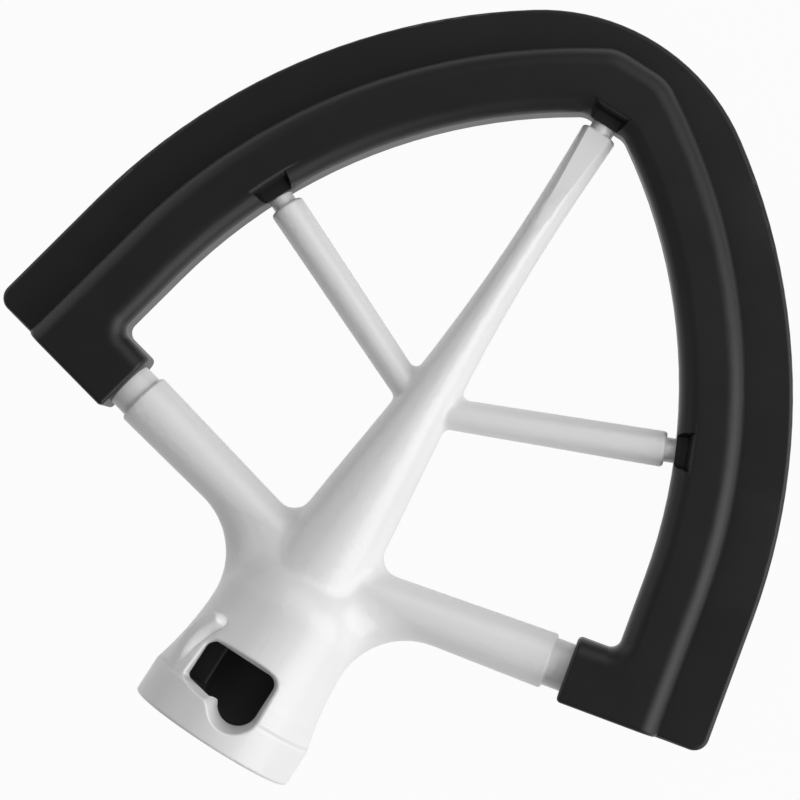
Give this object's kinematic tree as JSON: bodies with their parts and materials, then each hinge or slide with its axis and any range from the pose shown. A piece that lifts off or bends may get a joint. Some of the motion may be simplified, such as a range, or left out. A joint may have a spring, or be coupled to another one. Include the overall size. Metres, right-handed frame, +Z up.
{
  "type": "stand mixer flat beater",
  "caption": "Flat beater with a white coated cast frame, a bayonet hub for a drive shaft and a black rubber scraping edge moulded round its rim.",
  "frame": {"origin": "on the table, under the middle of the beater's box as it lies", "axes": "+Z up from the table with the lock window on top, +Y from the hub to the tip, +X across"},
  "size_m": [0.142, 0.1408, 0.0305],
  "materials": {
    "white_coating": "gloss",
    "black_rubber": "satin"
  },
  "bodies": {
    "root": {"beater_frame": "white_coating", "scraper_edge": "black_rubber"}
  },
  "joints": []
}
